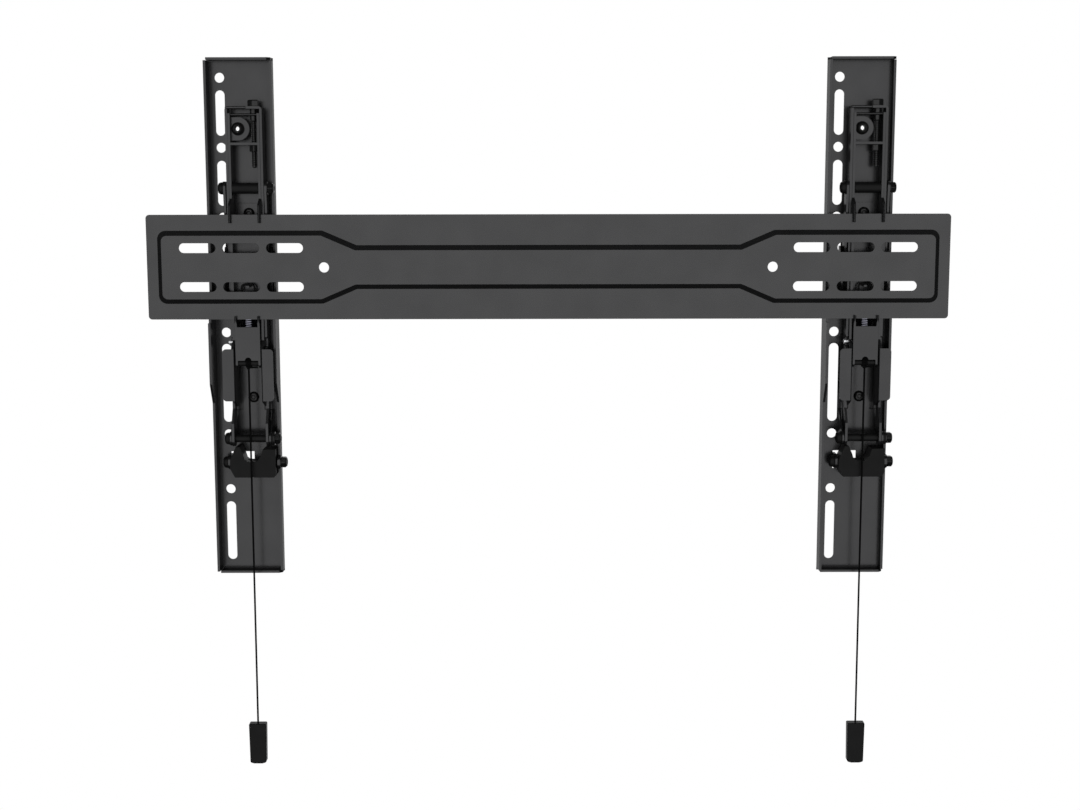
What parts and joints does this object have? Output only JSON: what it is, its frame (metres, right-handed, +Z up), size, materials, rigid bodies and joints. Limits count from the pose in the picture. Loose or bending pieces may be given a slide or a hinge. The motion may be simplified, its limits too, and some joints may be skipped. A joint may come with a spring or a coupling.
{
  "type": "tilting tv wall bracket",
  "caption": "Tilting wall bracket for a flat screen: pressed wall plate with sliding hook-on arms, levelling screws, tilt links, sprung latches and pull cords.",
  "frame": {"origin": "centre of the wall plate's pad, on the face that lies against the wall", "axes": "+X along the wall plate, +Y from the wall into the room, +Z up"},
  "size_m": [0.66, 0.0295, 0.5942],
  "materials": {
    "powder_coat": "satin",
    "black_steel": "semi-gloss",
    "spring_steel": "satin",
    "zinc": "bright",
    "rubber": "matte",
    "black_plastic": "matte",
    "cord": "matte"
  },
  "bodies": {
    "wall_plate": {"wall_plate": "powder_coat"},
    "left_hook": {"left_hook_bracket": "powder_coat", "left_level_nut": "black_steel", "left_buffer": "rubber", "left_latch_pin": "zinc", "left_latch_stud": "black_steel", "left_latch_spring": "spring_steel"},
    "left_frame": {"left_lift_frame": "powder_coat", "left_upper_bolt": "black_steel", "left_upper_nut": "black_steel", "left_upper_tube": "black_steel", "left_lower_bolt": "black_steel", "left_lower_nut": "black_steel", "left_lower_tube": "black_steel", "left_lower_washer": "black_steel"},
    "left_screw": {"left_level_screw": "black_steel"},
    "left_links": {"left_tilt_link_left": "powder_coat", "left_tilt_link_right": "powder_coat"},
    "left_screen_arm": {"left_vesa_channel": "powder_coat", "left_tilt_rail": "powder_coat", "left_rail_rivet_top": "black_steel", "left_rail_rivet_low": "black_steel", "left_cord_guide": "black_plastic", "left_guide_bolt": "black_steel", "left_guide_nut": "black_steel"},
    "left_latch_body": {"left_latch": "powder_coat", "left_latch_bar": "black_steel", "left_pull_cord": "cord", "left_pull_handle": "black_plastic"},
    "right_hook": {"right_hook_bracket": "powder_coat", "right_level_nut": "black_steel", "right_buffer": "rubber", "right_latch_pin": "zinc", "right_latch_stud": "black_steel", "right_latch_spring": "spring_steel"},
    "right_frame": {"right_lift_frame": "powder_coat", "right_upper_bolt": "black_steel", "right_upper_nut": "black_steel", "right_upper_tube": "black_steel", "right_lower_bolt": "black_steel", "right_lower_nut": "black_steel", "right_lower_tube": "black_steel", "right_lower_washer": "black_steel"},
    "right_screw": {"right_level_screw": "black_steel"},
    "right_links": {"right_tilt_link_left": "powder_coat", "right_tilt_link_right": "powder_coat"},
    "right_screen_arm": {"right_vesa_channel": "powder_coat", "right_tilt_rail": "powder_coat", "right_rail_rivet_top": "black_steel", "right_rail_rivet_low": "black_steel", "right_cord_guide": "black_plastic", "right_guide_bolt": "black_steel", "right_guide_nut": "black_steel"},
    "right_latch_body": {"right_latch": "powder_coat", "right_latch_bar": "black_steel", "right_pull_cord": "cord", "right_pull_handle": "black_plastic"}
  },
  "joints": [
    {"name": "left_arm_slide", "type": "slide", "parent": "wall_plate", "child": "left_hook", "axis": [1, 0, 0], "range_m": [-0.045, 0.2]},
    {"name": "left_level", "type": "slide", "parent": "left_hook", "child": "left_frame", "axis": [0, 0, 1], "range_m": [-0.0025, 0.0025]},
    {"name": "left_level_turn", "type": "hinge", "parent": "left_frame", "child": "left_screw", "pos_m": [-0.2414, 0.016, 0.1295], "axis": [0, 0, 1], "range_deg": [-1290, 1290]},
    {"name": "left_tilt", "type": "hinge", "parent": "left_frame", "child": "left_screen_arm", "pos_m": [-0.2487, 0.0095, -0.1433], "axis": [-1, 0, 0], "range_deg": [0, 6]},
    {"name": "left_link_swing", "type": "hinge", "parent": "left_frame", "child": "left_links", "pos_m": [-0.2487, 0.013, 0.0643], "axis": [1, 0, 0], "range_deg": [0, 12]},
    {"name": "left_latch_slide", "type": "slide", "parent": "left_hook", "child": "left_latch_body", "axis": [0, 0, -1], "range_m": [0, 0.0045], "stiffness_N_per_m": 1500, "springref_m": -0.008, "deforming": ["left_latch_spring"]},
    {"name": "right_arm_slide", "type": "slide", "parent": "wall_plate", "child": "right_hook", "axis": [1, 0, 0], "range_m": [-0.2, 0.04]},
    {"name": "right_level", "type": "slide", "parent": "right_hook", "child": "right_frame", "axis": [0, 0, 1], "range_m": [-0.0025, 0.0025]},
    {"name": "right_level_turn", "type": "hinge", "parent": "right_frame", "child": "right_screw", "pos_m": [0.2696, 0.016, 0.1295], "axis": [0, 0, 1], "range_deg": [-1290, 1290]},
    {"name": "right_tilt", "type": "hinge", "parent": "right_frame", "child": "right_screen_arm", "pos_m": [0.2623, 0.0095, -0.1433], "axis": [-1, 0, 0], "range_deg": [0, 6]},
    {"name": "right_link_swing", "type": "hinge", "parent": "right_frame", "child": "right_links", "pos_m": [0.2623, 0.013, 0.0643], "axis": [1, 0, 0], "range_deg": [0, 12]},
    {"name": "right_latch_slide", "type": "slide", "parent": "right_hook", "child": "right_latch_body", "axis": [0, 0, -1], "range_m": [0, 0.0045], "stiffness_N_per_m": 1500, "springref_m": -0.008, "deforming": ["right_latch_spring"]}
  ],
  "couplings": [
    {"joint": "left_level_turn", "follows": "left_level", "rad_per_m": 8976},
    {"joint": "left_link_swing", "follows": "left_tilt", "ratio": 1.947},
    {"joint": "right_level_turn", "follows": "right_level", "rad_per_m": 8976},
    {"joint": "right_link_swing", "follows": "right_tilt", "ratio": 1.947}
  ]
}
